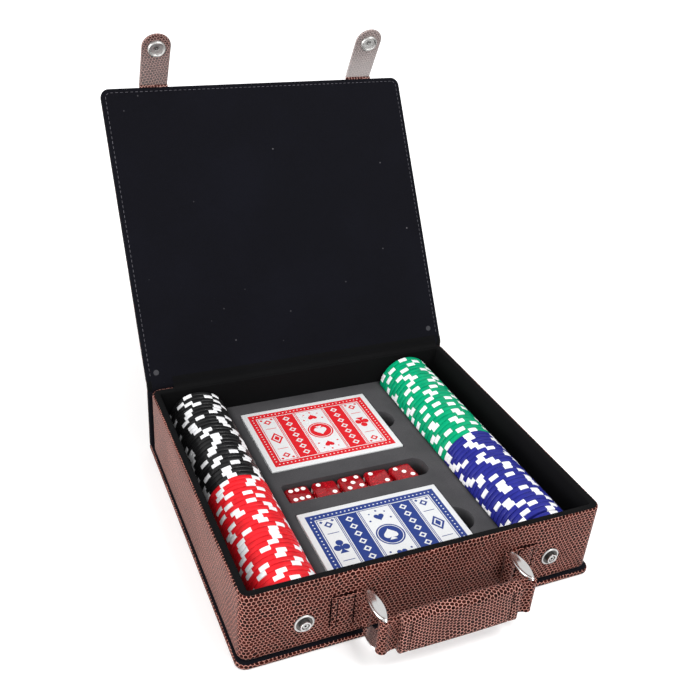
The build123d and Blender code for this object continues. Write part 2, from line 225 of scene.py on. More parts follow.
def grid(rows, caps=(False, False)):
    """Faces between closed rows of points, with corner coordinates in mm."""
    count = len(rows[0])
    verts = [point for row in rows for point in row]
    middle = rows[len(rows) // 2]
    along = distances(middle + middle[:1])
    heights = (max((b - a).length for a, b in zip(low, high)) for low, high in zip(rows, rows[1:]))
    down = list(accumulate(heights, initial=0.0))
    faces, pairs = [], []
    for r in range(len(rows) - 1):
        for k in range(count):
            after = (k + 1) % count
            faces.append((r * count + k, r * count + after, (r + 1) * count + after, (r + 1) * count + k))
            pairs += [(along[s], down[t]) for s, t in ((k, r), (k + 1, r), (k + 1, r + 1), (k, r + 1))]
    for wanted, r in zip(caps, (0, len(rows) - 1)):
        if wanted:
            ring = [r * count + k for k in range(count)]
            if r == 0:
                ring.reverse()
            faces.append(tuple(ring))
            gaps = [verts[k] - verts[ring[0]] for k in ring]
            side = max(gaps, key=lambda gap: gap.length).normalized()
            normal = sum((a.cross(b) for a, b in zip(gaps, gaps[1:])), Vector((0, 0, 0))).normalized()
            across = normal.cross(side)
            pairs += [(gap.dot(side) + CAP_SHIFT, gap.dot(across) + CAP_SHIFT) for gap in gaps]
    return verts, faces, pairs


def crisp(made, angle=CRISP, mend=True):
    """Smooth shading that stops at sharper edges; mend points all faces outwards first."""
    work = bmesh.new()
    work.from_mesh(made.data)
    if mend:
        bmesh.ops.recalc_face_normals(work, faces=work.faces)
    for edge in work.edges:
        if len(edge.link_faces) == 2 and edge.calc_face_angle(0.0) > radians(angle):
            edge.smooth = False
    work.to_mesh(made.data)
    work.free()
    return made


def plate(name, rings, place, materials, caps=(False, True), angle=60):
    """rings is a list of (outline, height)."""
    rows = [[place(u, v, h) for u, v in points] for points, h in rings]
    return crisp(new_object(name, *grid(rows, caps), materials), angle)


def joined(name, parts):
    """One object made of several."""
    verts, faces, pairs, index, materials = [], [], [], [], []
    smooth, sharp = [], set()
    for part in parts:
        mesh = part.data
        start = len(verts)
        verts += [part.matrix_world @ v.co / MM for v in mesh.vertices]
        slots = []
        for material in mesh.materials:
            if material not in materials:
                materials.append(material)
            slots.append(materials.index(material))
        for face in mesh.polygons:
            faces.append(tuple(start + k for k in face.vertices))
            index.append(slots[face.material_index])
            smooth.append(face.use_smooth)
            pairs += [tuple(mesh.uv_layers["mm"].data[k].uv) for k in face.loop_indices]
        sharp |= {tuple(sorted(start + k for k in edge.vertices)) for edge in mesh.edges if edge.use_edge_sharp}
        bpy.data.objects.remove(part)
    made = new_object(name, verts, faces, pairs, materials, index)
    made.data.polygons.foreach_set("use_smooth", smooth)
    for edge in made.data.edges:
        if tuple(sorted(edge.vertices)) in sharp:
            edge.use_edge_sharp = True
    return made


def lathe(name, profile, place, middle, materials, steps=40, index=None):
    """profile is (radius, height) round middle; index picks a material for each ring."""
    rows = [[place(a, b, height) for a, b in disc(*middle, radius, steps)] for radius, height in profile]
    index = index or [0] * (len(rows) - 1)
    shares = [k for k in index for _ in range(steps)] + [index[0], 0]
    return crisp(new_object(name, *grid(rows, (True, True)), materials, shares))


THREAD_SIDES = 6
THREAD_FLATTENED = 0.8
# Along a stitch: share of its length, thickness, and height over the surface
STITCH = ((0, 0.35, -0.5), (0.12, 0.9, 0.1), (0.5, 1.0, 0.35), (0.88, 0.9, 0.1), (1, 0.35, -0.5))


def stitch(a, b, radius, side):
    """A short thread between two points that dips at both ends."""
    across = (b - a).normalized().cross(side).normalized()
    rows = []
    for share, size, rise in STITCH:
        middle = a.lerp(b, share) + side * rise * radius
        ring = disc(0, 0, radius * size, THREAD_SIDES)
        rows.append([middle + across * p + side * q * THREAD_FLATTENED for p, q in ring])
    return grid(rows, (True, True))


def stitches(name, runs, radius, pitch, share, material):
    """runs holds (points, side) pairs; each run gets a line of stitches."""
    verts, faces, pairs = [], [], []
    for points, side in runs:
        lengths = distances(points)

        def at(distance):
            for k in range(len(points) - 1):
                if distance <= lengths[k + 1] or k == len(points) - 2:
                    span = lengths[k + 1] - lengths[k]
                    return points[k].lerp(points[k + 1], (distance - lengths[k]) / span)

        number = max(int(lengths[-1] / pitch), 1)
        step = lengths[-1] / number
        for k in range(number):
            start = (k + (1 - share) / 2) * step
            v, f, c = stitch(at(start), at(start + share * step), radius, side)
            base = len(verts)
            verts += v
            faces += [tuple(base + q for q in face) for face in f]
            pairs += c
    return new_object(name, verts, faces, pairs, [material])


# Material helpers

def add(tree, kind, inputs=None, **settings):
    made = tree.nodes.new("ShaderNode" + kind)
    for key, value in settings.items():
        setattr(made, key, value)
    for key, value in (inputs or {}).items():
        if isinstance(value, bpy.types.NodeSocket):
            tree.links.new(value, made.inputs[key])
        else:
            made.inputs[key].default_value = value
    return made


def linear(*rgb):
    """An sRGB colour, 0 to 255, as Blender's linear one."""
    shares = [value / 255 for value in rgb]
    return tuple(c / 12.92 if c <= 0.04045 else ((c + 0.055) / 1.055) ** 2.4 for c in shares) + (1.0,)


def shaded(colour, share):
    return tuple(c * share for c in colour[:3]) + (1.0,)


def cleared(holder):
    """The emptied node tree of a material or a world."""
    holder.use_nodes = True
    holder.node_tree.nodes.clear()
    return holder.node_tree


def start_material(name, constants=None):
    """A material with a shader, and the coordinates of the object it is on."""
    material = bpy.data.materials.new(name)
    tree = cleared(material)
    shader = add(tree, "BsdfPrincipled", constants)
    add(tree, "OutputMaterial", {"Surface": shader.outputs[0]})
    return material, tree, shader, add(tree, "TexCoord").outputs["Object"]


def wire(tree, shader, colour, rough=None, normal=None):
    for socket, value in (("Base Color", colour), ("Roughness", rough), ("Normal", normal)):
        if value is not None:
            tree.links.new(value, shader.inputs[socket])


def noise(tree, where, scale, detail=2.0, rough=0.5, out=0):
    inputs = {"Vector": where, "Scale": scale, "Detail": detail, "Roughness": rough}
    return add(tree, "TexNoise", inputs).outputs[out]


def ramp(tree, value, low, high, to_low=0.0, to_high=1.0):
    made = add(tree, "MapRange", {0: value, 1: low, 2: high, 3: to_low, 4: to_high}, interpolation_type="SMOOTHSTEP")
    return made.outputs[0]


def spread(tree, value):
    """The middle of a noise's range, drawn out to 0 to 1."""
    return ramp(tree, value, 0.3, 0.7)


def mix(tree, share, a, b):
    return add(tree, "Mix", {0: share, 6: a, 7: b}, data_type="RGBA").outputs[2]


def bump(tree, height, distance, strength):
    return add(tree, "Bump", {"Height": height, "Distance": distance, "Strength": strength}).outputs[0]


def maths(tree, operation, a, b=0.0):
    return add(tree, "Math", {0: a, 1: b}, operation=operation).outputs[0]


def vectors(tree, operation, a, b=(0.0, 0.0, 0.0), out=0):
    return add(tree, "VectorMath", {0: a, 1: b}, operation=operation).outputs[out]


def axis_of(tree, vector, number):
    return add(tree, "SeparateXYZ", {0: vector}).outputs[number]


def hexagons(tree, spot):
    """Two distances from the edge of hexagonal cells one unit wide, and a number for each cell."""
    size = (1.0, 1.7320508, 1.0)
    half = (0.5, 0.8660254, 0.5)
    choices = []
    for moved in (spot, vectors(tree, "ADD", spot, half)):
        wrapped = add(tree, "VectorMath", {0: moved, 1: size, 2: (0.0, 0.0, 0.0)}, operation="WRAP").outputs[0]
        choices.append(vectors(tree, "MULTIPLY", vectors(tree, "SUBTRACT", wrapped, half), (1.0, 1.0, 0.0)))
    near, other = (vectors(tree, "LENGTH", choice, out=1) for choice in choices)
    second = maths(tree, "GREATER_THAN", near, other)
    local = add(tree, "Mix", {0: second, 4: choices[0], 5: choices[1]}, data_type="VECTOR").outputs[1]
    folded = vectors(tree, "ABSOLUTE", local)
    slanted = vectors(tree, "DOT_PRODUCT", folded, half, out=1)
    edge = maths(tree, "SUBTRACT", 0.5, maths(tree, "MAXIMUM", slanted, axis_of(tree, folded, 0)))
    round_edge = maths(tree, "SUBTRACT", 0.5, vectors(tree, "LENGTH", local, out=1))
    middle = vectors(tree, "ADD", vectors(tree, "SUBTRACT", spot, local), (0.05, 0.05, 0.0))
    snapped = vectors(tree, "SNAP", middle, (0.25, 0.4330127, 1.0))
    chance = add(tree, "TexWhiteNoise", {"Vector": snapped}).outputs["Value"]
    return edge, round_edge, chance


# Materials

# Painted sheen: a pale colour that stands in for light reflected off the tabs' leather
PAINTED_SHEEN_COLOUR = linear(205, 199, 198)
# How far the grain's cells wander: noise scale, and reach in mm
SWAYS = ((0.02, 5.0), (0.11, 1.2), (0.45, 0.25))


def leather_material(
    name, cell=2.35, net=(208, 147, 134), dark=(20, 2, 1), warm=(60, 16, 9), wide=0.062, level=0.05, sheen=0.25,
    painted_sheen=None, flat=False,
):
    """Grained faux leather: dark domed cells in a lighter net, on the piece's own mm coordinates."""
    material, tree, shader, place = start_material(name, {
        "Specular IOR Level": level, "Sheen Weight": sheen, "Sheen Roughness": 0.2,
        "Sheen Tint": linear(255, 246, 242),
    })
    if flat:
        scaled = vectors(tree, "MULTIPLY", place, (1 / MM, 1 / MM, 1 / MM))
        along = vectors(tree, "DOT_PRODUCT", scaled, LID_WAY, out=1)
        where = add(tree, "CombineXYZ", {0: axis_of(tree, scaled, 0), 1: along}).outputs[0]
    else:
        where = add(tree, "UVMap", uv_map="mm").outputs[0]
    spot = where
    for scale, reach in SWAYS:
        sway = vectors(tree, "SUBTRACT", noise(tree, where, scale, 1.0, out="Color"), (0.5, 0.5, 0.5))
        spot = vectors(tree, "ADD", spot, vectors(tree, "MULTIPLY", sway, (reach * 2, reach * 2, 0.0)))
    edge, round_edge, chance = hexagons(tree, vectors(tree, "MULTIPLY", spot, (1 / cell, 1 / cell, 0.0)))
    grain = noise(tree, where, 1.6, 3.0)
    patches = noise(tree, where, 0.03)
    line = maths(tree, "ADD", maths(tree, "MULTIPLY", edge, 0.75), maths(tree, "MULTIPLY", round_edge, 0.25))
    reach = ramp(tree, grain, 0.3, 0.7, wide * 0.75, wide * 1.25)
    share = ramp(tree, line, maths(tree, "SUBTRACT", reach, 0.05), maths(tree, "ADD", reach, 0.025), 1.0, 0.0)
    net = linear(*net)
    net_tone = mix(tree, ramp(tree, patches, 0.35, 0.65), shaded(net, 0.8), net)
    colour = mix(tree, share, mix(tree, chance, linear(*dark), linear(*warm)), net_tone)
    # Painted sheen: the pale colour mixed in more towards the bottom of the piece, broken up by the grain
    if painted_sheen:
        sheen_height_share = ramp(tree, axis_of(tree, place, 2), *painted_sheen)
        painted_sheen_blotch = maths(tree, "MULTIPLY", sheen_height_share, ramp(tree, grain, 0.2, 0.6, 0.75, 1.0))
        colour = mix(tree, painted_sheen_blotch, colour, PAINTED_SHEEN_COLOUR)
    normal = bump(tree, ramp(tree, line, 0.02, 0.36), 0.00012, 0.6)
    wire(tree, shader, colour, ramp(tree, share, 0.0, 1.0, 0.42, 0.58), normal)
    return material


def felt_material(name, colour=(5, 5, 11), pale=(14, 15, 25), specks=True):
    material, tree, shader, where = start_material(name, {"Roughness": 0.95, "Specular IOR Level": 0.15})
    fibre = noise(tree, where, 1500.0, 4.0, 0.7)
    cloud = noise(tree, where, 18.0, 3.0)
    tone = mix(tree, ramp(tree, fibre, 0.35, 0.75, 0.0, 0.5), linear(*colour), linear(*pale))
    tone = mix(tree, ramp(tree, cloud, 0.4, 0.75, 0.0, 0.3), tone, linear(*pale))
    if specks:
        inputs = {"Vector": where, "Scale": 75.0, "Randomness": 1.0}
        dust = add(tree, "TexVoronoi", inputs, feature="F1").outputs["Distance"]
        dot = add(tree, "MapRange", {0: dust, 1: 0.0, 2: 0.05, 3: 1.0, 4: 0.0}).outputs[0]
        tone = mix(tree, dot, tone, linear(120, 118, 122))
    wire(tree, shader, tone, normal=bump(tree, fibre, 0.00012, 0.7))
    return material


def foam_material():
    """Foam with painted shade beside the chip rows and down in its hollows; places in metres."""
    material, tree, shader, where = start_material("foam", {"Roughness": 0.92, "Specular IOR Level": 0.2})
    pores = noise(tree, where, 1400.0, 5.0, 0.75)
    cloud = noise(tree, where, 40.0, 3.0)
    tone = mix(tree, spread(tree, pores), linear(64, 63, 65), linear(76, 75, 77))
    tone = mix(tree, ramp(tree, cloud, 0.35, 0.7, 0.0, 0.6), tone, linear(56, 56, 58))
    # Painted shade: the foam turns near black beside the chip rows and low in its hollows, where shade falls
    across, height = axis_of(tree, where, 0), axis_of(tree, where, 2)
    left = ramp(tree, across, -0.0602, -0.0535, 0.9, 0.0)
    right = ramp(tree, across, 0.0548, 0.058, 0.0, 0.6)
    low = ramp(tree, height, 0.019, 0.0278, 0.6, 0.0)
    painted_shade = maths(tree, "MAXIMUM", maths(tree, "MAXIMUM", left, right), low)
    wire(tree, shader, mix(tree, painted_shade, tone, linear(16, 16, 18)), normal=bump(tree, pores, 0.0002, 0.7))
    return material


def plastic_material(name, colour, rough=0.34, shade=0.82, level=0.3):
    material, tree, shader, where = start_material(name, {"Specular IOR Level": level})
    cloud = noise(tree, where, 160.0, 3.0)
    full = linear(*colour)
    tone = mix(tree, spread(tree, cloud), shaded(full, shade), full)
    finish = ramp(tree, cloud, 0.3, 0.7, rough - 0.05, rough + 0.08)
    wire(tree, shader, tone, finish, bump(tree, noise(tree, where, 2400.0), 0.00002, 0.5))
    return material


def metal_material(name, low, high, rough):
    material, tree, shader, where = start_material(name, {"Metallic": 1.0})
    tone = mix(tree, spread(tree, noise(tree, where, 60.0)), linear(*low), linear(*high))
    scuffs = noise(tree, where, 900.0, 3.0)
    wire(tree, shader, tone, ramp(tree, scuffs, 0.3, 0.75, rough, rough + 0.02))
    return material


def dice_material():
    constants = {"Roughness": 0.07, "IOR": 1.46, "Transmission Weight": 0.7}
    material, tree, shader, where = start_material("dice", constants)
    wire(tree, shader, mix(tree, noise(tree, where, 90.0), linear(222, 18, 34), linear(246, 40, 54)))
    return material


def page_material():
    """The edges of a pack of cards, as fine level stripes."""
    material, tree, shader, where = start_material("cards", {"Roughness": 0.5})
    wave = maths(tree, "SINE", maths(tree, "MULTIPLY", axis_of(tree, where, 2), 21000.0))
    wire(tree, shader, mix(tree, ramp(tree, wave, -1.0, 1.0), linear(214, 212, 206), linear(244, 243, 238)))
    return material


def mottled_material(name, low, high, scale, detail, rough, depth, strength, level=0.5):
    """Two colours mixed by one noise, which also gives the bumps."""
    material, tree, shader, where = start_material(name, {"Roughness": rough, "Specular IOR Level": level})
    mottle = noise(tree, where, scale, detail)
    wire(tree, shader, mix(tree, spread(tree, mottle), low, high), normal=bump(tree, mottle, depth, strength))
    return material


def printed_material(name, *colour):
    full = linear(*colour)
    return mottled_material(name, shaded(full, 0.93), full, 1200.0, 3.0, 0.32, 0.00001, 0.4, 0.22)


leather = leather_material("leather")
leather_grip = leather_material("leather_grip", cell=2.3, net=(214, 157, 145), warm=(54, 18, 11), wide=0.066)
leather_tail = leather_material(
    "leather_tail", cell=2.2, net=(214, 168, 156), dark=(48, 18, 16), warm=(80, 42, 38), flat=True,
)
# The tabs' leathers are lighter copies of the case's leather: painted sheen, palest on the right tab
tab_leathers = {
    "left": leather_material(
        "leather_tab", cell=2.1, net=(206, 163, 154), dark=(40, 16, 13), warm=(80, 46, 41), level=0.3, sheen=0.15,
        painted_sheen=(0.235, 0.256, 0.2, 0.0),
    ),
    "right": leather_material(
        "leather_tab_painted_sheen", cell=2.1, net=(200, 182, 177), dark=(72, 50, 48), warm=(102, 80, 76), level=0.5,
        sheen=0.2, painted_sheen=(0.218, 0.254, 0.72, 0.12),
    ),
}
felt = felt_material("felt")
felt_plain = felt_material("felt_plain", (4, 4, 5), (12, 12, 14), specks=False)
dot_felt = felt_material("felt_pressed", (52, 52, 56), (84, 84, 88), specks=False)
foam = foam_material()
metal = metal_material("nickel", (208, 207, 206), (220, 219, 218), 0.24)
dull_metal = metal_material("nickel_dull", (188, 187, 185), (202, 201, 199), 0.45)
plate_metal = metal_material("nickel_plate", (226, 225, 224), (236, 235, 234), 0.13)
# Painted shade: a dark copy of the nickel for the hollows and grooves of the studs and sockets
shade_painted_metal = metal_material("nickel_painted_shade", (84, 82, 80), (104, 102, 100), 0.4)
board = mottled_material("board", linear(150, 138, 118), linear(186, 176, 158), 900.0, 5.0, 0.9, 0.0001, 0.5)
pages = page_material()
thread = mottled_material("thread", linear(60, 58, 64), linear(102, 100, 108), 2500.0, 2.0, 0.7, 0.00005, 0.6)
# Near black thread, for the grip's stitches and for lines of painted shade on the wall loops
dark_thread_and_shade_line = plastic_material("dark_thread_and_shade_line", (14, 5, 5), rough=0.9, level=0.05)
white_spot = plastic_material("chip_spot", (242, 242, 244), shade=0.95)
chip_colours = {
    "black": plastic_material("chip_black", (26, 26, 27), rough=0.3),
    "red": plastic_material("chip_red", (226, 30, 40), level=0.2),
    "green": plastic_material("chip_green", (0, 158, 110), level=0.12),
    "blue": plastic_material("chip_blue", (38, 42, 134), level=0.15),
}
dice_red = dice_material()
pip_white = plastic_material("pip", (248, 246, 242), rough=0.4, shade=0.97)
card_white = printed_material("card_white", 216, 217, 218)
card_inks = {
    "red": printed_material("ink_red", 208, 34, 42),
    "blue": printed_material("ink_blue", 34, 56, 124),
}


def finish(piece, body, slot, *replaced):
    if body:
        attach(piece, body)
    if replaced:
        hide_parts(*replaced)
    return piece


# Tray: profiles are (inset from the outer face, height)

LEATHER_PROFILE = [
    (3.2, 3.9), (1.6, 3.92), (0.9, 4.05), (0.4, 4.4), (0.1, 4.95), (0.0, 5.6), (0.0, 16.0), (0.0, 27.0),
    (0.0, 38.0), (0.0, 47.6), (0.06, 48.3), (0.25, 48.9), (0.55, 49.28), (0.85, 49.4), (1.0, 49.3), (1.05, 49.0),
]
LINING_PROFILE = [
    (0.95, 48.9), (0.98, 49.25), (1.15, 49.42), (1.6, 49.5), (2.8, 49.5), (3.9, 49.46), (4.6, 49.25), (5.0, 48.8),
    (5.1, 48.1), (5.1, 40.0), (4.75, 34.0), (4.6, 29.0), (4.6, 20.0), (4.6, 7.2), (5.0, 6.7), (6.0, 6.5),
]


def tray_rings(profile):
    sides = (-TRAY_HALF_WIDTH, TRAY_HALF_WIDTH, FRONT_FACE, -FRONT_FACE, [CORNER] * 4)
    return [(rounded(*sides, inset), height) for inset, height in profile]


piece = plate("tray_cover", tray_rings(LEATHER_PROFILE), upright, [leather], caps=(False, False))
finish(piece, "case", "cover_leather", "tray_leather")
piece = plate("tray_inside", tray_rings(LINING_PROFILE), upright, [felt_plain])
finish(piece, "case", "lining_felt", "tray_lining")

# Base, spine and lid: profiles are (inset from the edge, height over the lining)

SHELL = [
    (2.2, 0.5), (1.3, 0.3), (0.8, 0.3), (0.35, 0.5), (0.08, 1.0), (0.0, 1.6), (0.0, 2.4), (0.12, 3.05),
    (0.5, 3.55), (1.1, 3.77), (1.8, 3.8),
]
SHEET = [(0.62, 0.6), (0.72, 0.25), (0.95, 0.06), (1.4, 0.0)]
TURNED_SHELL = [
    (0.5, 1.9), (0.2, 2.1), (0.02, 2.35), (0.0, 2.7), (0.12, 3.15), (0.5, 3.6), (1.1, 3.78), (1.8, 3.8),
]
TURNED_SHEET = [
    (0.3, 2.35), (0.06, 2.2), (0.04, 1.9), (0.04, 1.2), (0.14, 0.6), (0.42, 0.2), (0.9, 0.03), (1.5, 0.0),
]
TIGHT = 0.9
for name, place, low, high, radii, body in (
    ("base", base_point, -100.0, 101.3, (CORNER, CORNER, TIGHT, TIGHT), "case"),
    ("spine", spine_point, 3.9, 48.0, (TIGHT, TIGHT, TIGHT, TIGHT), "case"),
    ("lid", lid_point, LID_START, LID_END, (TIGHT, TIGHT, CORNER, CORNER), "lid"),
):
    shell, sheet = (SHELL, SHEET) if name == "base" else (TURNED_SHELL, TURNED_SHEET)
    for profile, piece_name, material, slot, node in (
        (shell, f"{name}_cover", leather, "cover_leather", f"{name}_leather"),
        (sheet, f"{name}_inside", felt, "lining_felt", f"{name}_lining"),
    ):
        rings = [(rounded(-HALF_WIDTH, HALF_WIDTH, low, high, radii, inset), h) for inset, h in profile]
        finish(plate(piece_name, rings, place, [material]), body, slot, node)

# Stitches round the lid's lining, 3 mm in from the edge
SEAM_INSET = 3.0
SEAM_START = 6.0
seam_u = HALF_WIDTH - SEAM_INSET
seam_v = LID_END - CORNER
outline = [(seam_u, SEAM_START)] + arc((seam_u - SEAM_INSET, seam_v), SEAM_INSET, 0, 90, 6)
outline += arc((SEAM_INSET - seam_u, seam_v), SEAM_INSET, 90, 180, 6) + [(-seam_u, SEAM_START)]
inward = lid_point(0, 0, 0) - lid_point(0, 0, 1)
run = [lid_point(u, v, 0.02) for u, v in outline]
finish(stitches("lid_stitches", [(run, inward)], 0.16, 3.3, 0.66, thread), "lid", "lining_felt")

DOT_PROFILE = [(0.05, 0.08), (1.0, 0.08), (1.6, 0.07), (1.9, 0.03), (1.95, -0.1)]
for side, middle in (("left", (-103.0, 8.5)), ("right", (101.5, 10.0))):
    piece = lathe(f"{side}_lid_dot", DOT_PROFILE, on_lid_lining, middle, [dot_felt], 20)
    finish(piece, "lid", "lining_felt")

# Hinge strips: outlines are (y, z), drawn out from left to right

STRIP_PARTS = 40


def hinge_strip(name, outline, left, right, material, slot, grain=1.0):
    """A strip that runs from the case round the hinge to the lid, drawn from left to right; grain makes its pattern
    finer.
    """
    places = [left + (right - left) * k / STRIP_PARTS for k in range(STRIP_PARTS + 1)]
    rows = [[Vector((u, y, z)) for y, z in outline] for u in places]
    made = crisp(new_object(name, *grid(rows, (True, True)), [material]), 50)
    for corner in made.data.uv_layers["mm"].data:
        corner.uv[0] *= grain
    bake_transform(made)
    return finish(made, None, slot)


def bent_round_hinge(radius):
    """Points from the back of the spine up to the lid."""
    turns = [radians(-58 + 72 * k / 12) for k in range(13)]
    return [(HINGE.y + radius * cos(turn), HINGE.z + radius * sin(turn)) for turn in turns]


def lid_section(v, h):
    return tuple(lid_point(0, v, h).yz)


path = [(101.42, 44.0), (101.5, 46.2)] + bent_round_hinge(3.2) + [lid_section(v, 3.92) for v in (4.6, 7.0)]
hinge_strip(
    "hinge_outside", band(path, [0.4] * len(path)), -109.9, 109.9, leather, "cover_leather",
    grain=1.8,
)
inner_path = [(98.3, 47.3), (98.2, 48.4), (98.15, 49.6), (98.3, 50.7), (98.8, 51.8)]
inner_path += [lid_section(v, 0.1) for v in (2.6, 3.4)]
path = bent_round_hinge(2.75) + [lid_section(3.4, 3.4)] + inner_path[::-1]
hinge_strip("hinge_gusset", path, -110.05, 110.05, felt_plain, "lining_felt")

path = [(98.2, 47.2), (98.05, 48.4), (98.0, 49.6), (98.15, 50.7), (98.6, 51.8)]
sunk = ((2.6, 0.0), (4.6, 0.0), (6.0, 0.14), (12.4, 0.14), (14.0, 0.0), (17.5, 0.0))
path += [lid_section(v, h) for v, h in sunk]
hinge_strip(
    "hinge_inside", band(path, [0.18] * len(path)), -107.1, 107.1, felt, "lining_felt",
)
path = [(93.4, 49.58), (94.4, 49.66), (96.2, 49.68), (97.2, 49.9), (97.75, 50.5), (98.2, 51.3), (98.75, 52.1)]
path += [lid_section(v, -0.3) for v in (2.0, 3.2, 4.4)]
hinge_strip(
    "hinge_flap", band(path, [0.05] + [0.14] * 8 + [0.05]), -93.0, 105.5, felt_plain, "lining_felt",
)

# Foam

for kind, settings in (
    ("WELD", {"merge_threshold": 0.00002}),
    ("DECIMATE", {"decimate_type": "DISSOLVE", "angle_limit": radians(1)}),
    ("BEVEL", {"width": 0.0009, "segments": 3, "limit_method": "ANGLE", "angle_limit": radians(50)}),
):
    modifier = nodes["foam_insert"].modifiers.new(kind.lower(), kind)
    for key, value in settings.items():
        setattr(modifier, key, value)

# Chips

CHIPS = 25
CHIP_THICKNESS = 3.25
ROW_BACK = 89.8
ROW_HEIGHT = 27.8
CHIP_STEPS = 84
SPOT_EVERY, SPOT_STEPS, SPOT_RADIUS = 14, 4, 14.9
CHIP_LEAN, LOOSE_LEAN = 0.002, 0.012
PROFILE_THICKNESS = 3.4
CHIP_PROFILE = [
    (9.0, 1.42), (14.6, 1.42), (14.9, 1.66), (15.6, 1.7), (18.7, 1.7), (19.2, 1.6), (19.45, 1.3), (19.5, 0.6),
]


def chip_row(colour, x, first, pitch, thick, seed, loose):
    """Separate chips on edge, each turned and shifted a little; the last stands loose mm away."""
    rand = random.Random(seed)
    verts, faces, index = [], [], []
    profile = [(radius, height * thick / PROFILE_THICKNESS) for radius, height in CHIP_PROFILE]
    profile += [(radius, -height) for radius, height in reversed(profile)]
    spots = [k % SPOT_EVERY < SPOT_STEPS for k in range(CHIP_STEPS)]
    for number in range(CHIPS):
        turn = rand.uniform(0, 2 * pi)
        dx, dz = rand.uniform(-0.14, 0.14), rand.uniform(-0.14, 0.14)
        lean = rand.uniform(-CHIP_LEAN, CHIP_LEAN)
        y = first - number * pitch
        if loose and number == CHIPS - 1:
            y -= loose
            lean = LOOSE_LEAN
        start = len(verts)
        for radius, height in profile:
            for k in range(CHIP_STEPS):
                angle = turn + 2 * pi * k / CHIP_STEPS
                a, b = radius * cos(angle), radius * sin(angle)
                verts.append((x + dx + a, y + height + lean * b, ROW_HEIGHT + dz + b))
        for r in range(len(profile) - 1):
            outer = min(profile[r][0], profile[r + 1][0]) >= SPOT_RADIUS
            a, b = start + r * CHIP_STEPS, start + (r + 1) * CHIP_STEPS
            for k in range(CHIP_STEPS):
                after = (k + 1) % CHIP_STEPS
                faces.append((a + k, b + k, b + after, a + after))
                index.append(1 if outer and spots[k] else 0)
        last = start + (len(profile) - 1) * CHIP_STEPS
        faces.append(tuple(start + k for k in range(CHIP_STEPS)))
        faces.append(tuple(last + k for k in reversed(range(CHIP_STEPS))))
        index += [0, 0]
    made = new_object(f"{colour}_chip_row", verts, faces, None, [chip_colours[colour], white_spot], index)
    finish(crisp(made, 38), f"{colour}_stack", f"{colour}_chip", f"{colour}_chips")


for x, colours in (
    (-79.3, (("black", 3.7, 3.4, 11, 0.0), ("red", 3.55, 3.35, 12, 0.0))),
    (77.3, (("green", 3.85, 3.68, 13, 0.0), ("blue", 3.35, 3.2, 14, 1.6))),
):
    first = ROW_BACK - CHIP_THICKNESS / 2
    for colour, pitch, thick, seed, loose in colours:
        chip_row(colour, x, first, pitch, thick, seed, loose)
        first -= CHIPS * pitch

# Card boxes

BOX_UV_SHIFT = 300


def rounded_box(name, low, high, radius, materials, segments=4):
    """A box with rounded edges, in mm."""
    work = bmesh.new()
    bmesh.ops.create_cube(work, size=1.0)
    size = Vector(high) - Vector(low)
    middle = (Vector(high) + Vector(low)) / 2
    for vertex in work.verts:
        vertex.co = Vector(a * b for a, b in zip(vertex.co, size)) + middle
    bmesh.ops.bevel(
        work, geom=work.edges[:], offset=radius, segments=segments, profile=0.5, affect="EDGES", clamp_overlap=True,
    )
    work.normal_update()
    verts = [vertex.co.copy() for vertex in work.verts]
    faces = [tuple(vertex.index for vertex in face.verts) for face in work.faces]
    pairs = []
    for face in work.faces:
        axis = max(range(3), key=lambda k: abs(face.normal[k]))
        a, b = (k for k in range(3) if k != axis)
        pairs += [(vertex.co[a] + BOX_UV_SHIFT, vertex.co[b] + BOX_UV_SHIFT) for vertex in face.verts]
    work.free()
    return crisp(new_object(name, verts, faces, pairs, materials), 30, mend=False)


def lozenge(u, v, a, b):
    return [(u - a, v), (u, v - b), (u + a, v), (u, v + b)]


def bar(u0, u1, v0, v1):
    return [(u0, v0), (u1, v0), (u1, v1), (u0, v1)]


def heart(u, v, size, way=1):
    """A heart, or with way -1 an upside down one."""
    points = []
    for k in range(28):
        t = 2 * pi * k / 28
        a = 16 * sin(t) ** 3
        b = 13 * cos(t) - 5 * cos(2 * t) - 2 * cos(3 * t) - cos(4 * t)
        points.append((u + size * a / 17, v + way * size * b / 17))
    return points if way < 0 else points[::-1]


def foot(u, v, size):
    """The flared stem of a spade or club."""
    shape = ((-0.5, -1.05), (0.5, -1.05), (0.14, -0.6), (0.1, 0.1), (-0.1, 0.1), (-0.14, -0.6))
    return [(u + a * size, v + b * size) for a, b in shape]


def spade(u, v, size):
    return [heart(u, v, size, -1), foot(u, v, size)]


def club(u, v, size):
    leaves = [(0, 0.45), (-0.46, -0.25), (0.46, -0.25)]
    return [disc(u + a * size, v + b * size, 0.4 * size) for a, b in leaves] + [foot(u, v, size)]


def frame_of(half_u, half_v, width):
    """Four bars round a rectangle."""
    low, high = width - half_v, half_v - width
    return [
        bar(-half_u, half_u, -half_v, low), bar(-half_u, half_u, high, half_v),
        bar(-half_u, width - half_u, low, high), bar(half_u - width, half_u, low, high),
    ]


